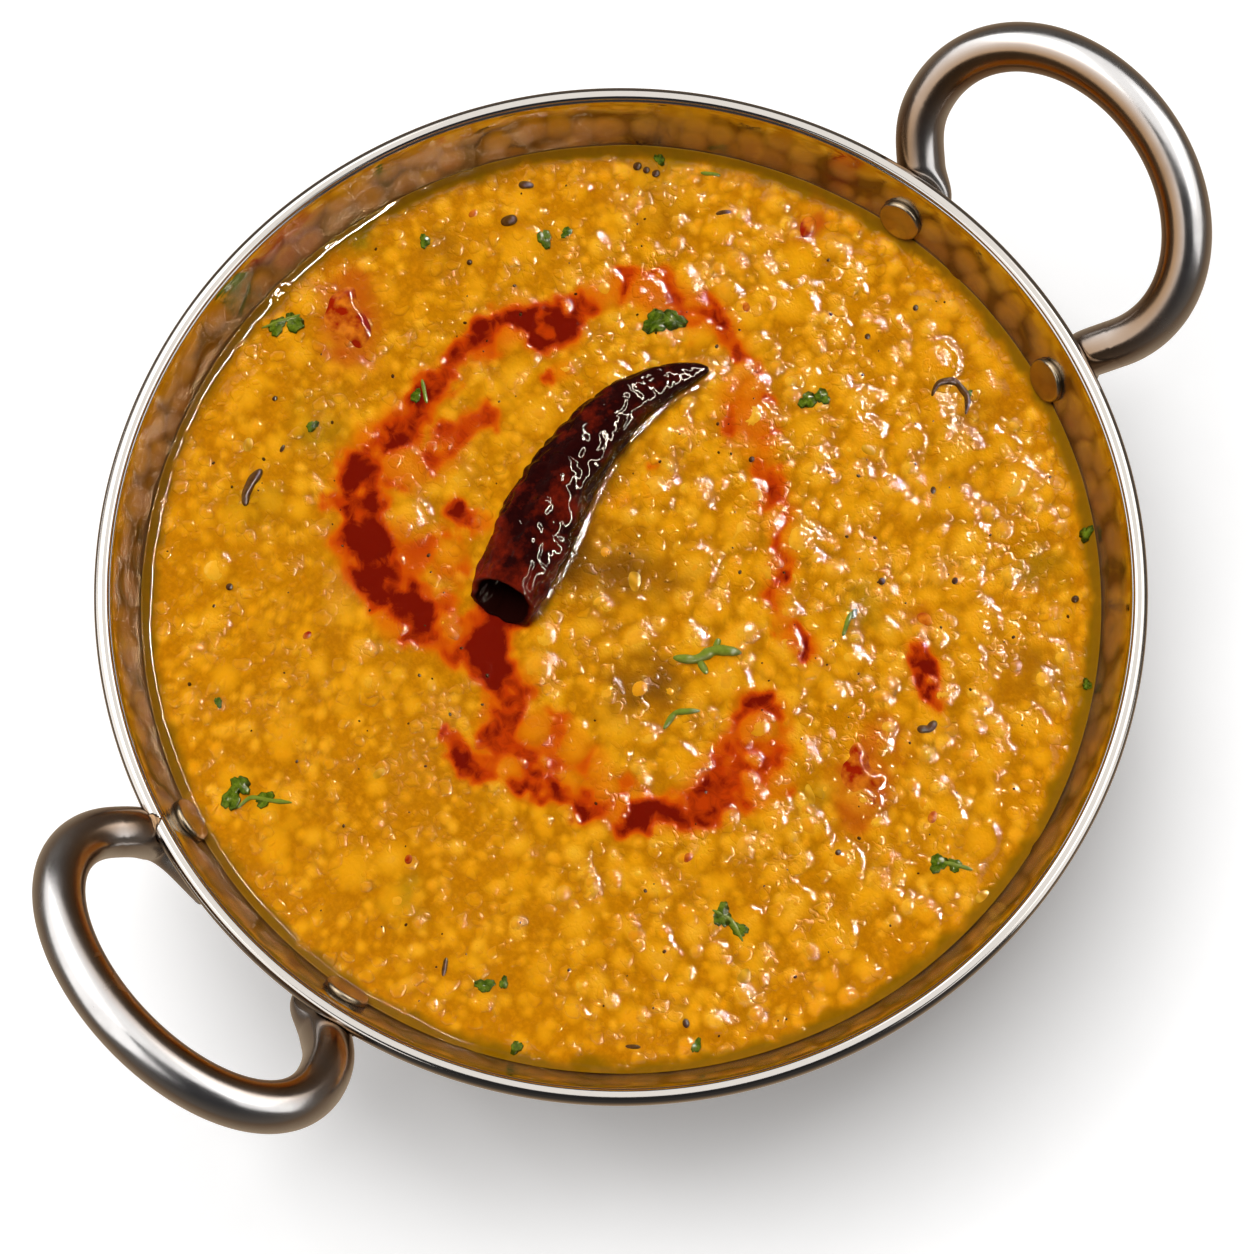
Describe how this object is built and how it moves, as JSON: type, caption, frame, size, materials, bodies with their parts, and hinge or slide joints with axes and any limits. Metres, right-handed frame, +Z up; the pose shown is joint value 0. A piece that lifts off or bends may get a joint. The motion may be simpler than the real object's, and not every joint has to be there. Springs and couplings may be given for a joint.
{
  "type": "dal tadka in a karahi",
  "caption": "Thick yellow lentil dal with a ring of red chilli oil, a dried red chilli, tomato and herbs, filling a round hammered steel karahi with riveted loop handles.",
  "frame": {"origin": "middle of the flat base, on the surface the dish stands on", "axes": "+X across the rim towards the larger handle, +Z up out of the dish"},
  "size_m": [0.2111, 0.1596, 0.0717],
  "materials": {
    "bowl_steel": "hand-hammered stainless steel with a polished rim",
    "rod_steel": "polished stainless steel rod with fine draw marks",
    "dal": "wet, thick cooked lentils, glossy and slightly see-through",
    "oil": "thin film of red chilli oil",
    "chilli": "fried, wrinkled and oily dried chilli skin",
    "tomato": "wet, softened tomato flesh",
    "herb": "wilted green coriander leaf",
    "spice": "fried cumin and mustard seeds and browned onion"
  },
  "bodies": {
    "root": {"karahi": "bowl_steel", "handle_right": "rod_steel", "handle_left": "rod_steel", "rivet_right_1": "rod_steel", "rivet_right_2": "rod_steel", "rivet_left_1": "rod_steel", "rivet_left_2": "rod_steel", "dal": "dal", "dried_chilli": "chilli", "tomato_back": "tomato", "tomato_front": "tomato"}
  },
  "joints": []
}
